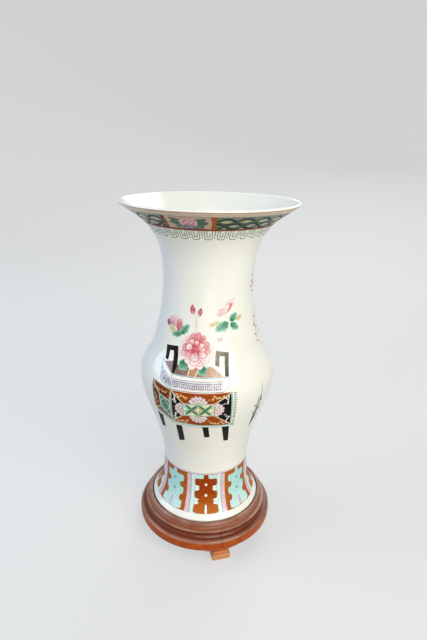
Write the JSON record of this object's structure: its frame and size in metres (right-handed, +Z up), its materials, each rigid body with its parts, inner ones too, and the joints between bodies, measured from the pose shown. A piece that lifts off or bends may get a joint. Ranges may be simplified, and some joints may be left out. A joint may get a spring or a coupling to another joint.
{
  "type": "yen yen vase",
  "caption": "Tall porcelain vase with a trumpet mouth, round belly and flared foot, standing in the recessed seat of a round moulded wood stand with bracket feet.",
  "frame": {"origin": "centre of the stand, on the surface that it stands on", "axes": "+Z up along the axis of the vase, -Y towards the front of the vase, +X to its right as seen from the front"},
  "size_m": [0.231, 0.231, 0.497],
  "materials": {
    "glazed_porcelain": "glossy clear glaze with overglaze enamels",
    "rim_wood": "worn satin lacquer",
    "apron_wood": "polished lacquer",
    "board_wood": "plain oiled",
    "bamboo": "bare"
  },
  "bodies": {
    "stand": {"seat_board": "board_wood", "rim_front": "rim_wood", "rim_back_right": "rim_wood", "rim_back_left": "rim_wood", "apron_right": "apron_wood", "apron_back": "apron_wood", "apron_left": "apron_wood", "foot_front": "apron_wood", "foot_back_right": "apron_wood", "foot_back_left": "apron_wood", "apron_tongues": "bamboo", "rim_pegs": "bamboo"},
    "vase": {"vase_neck": "glazed_porcelain", "vase_belly": "glazed_porcelain", "vase_foot": "glazed_porcelain"}
  },
  "joints": [
    {"name": "vase_lift", "type": "slide", "parent": "stand", "child": "vase", "axis": [0, 0, 1], "range_m": [0, 0.08]}
  ]
}
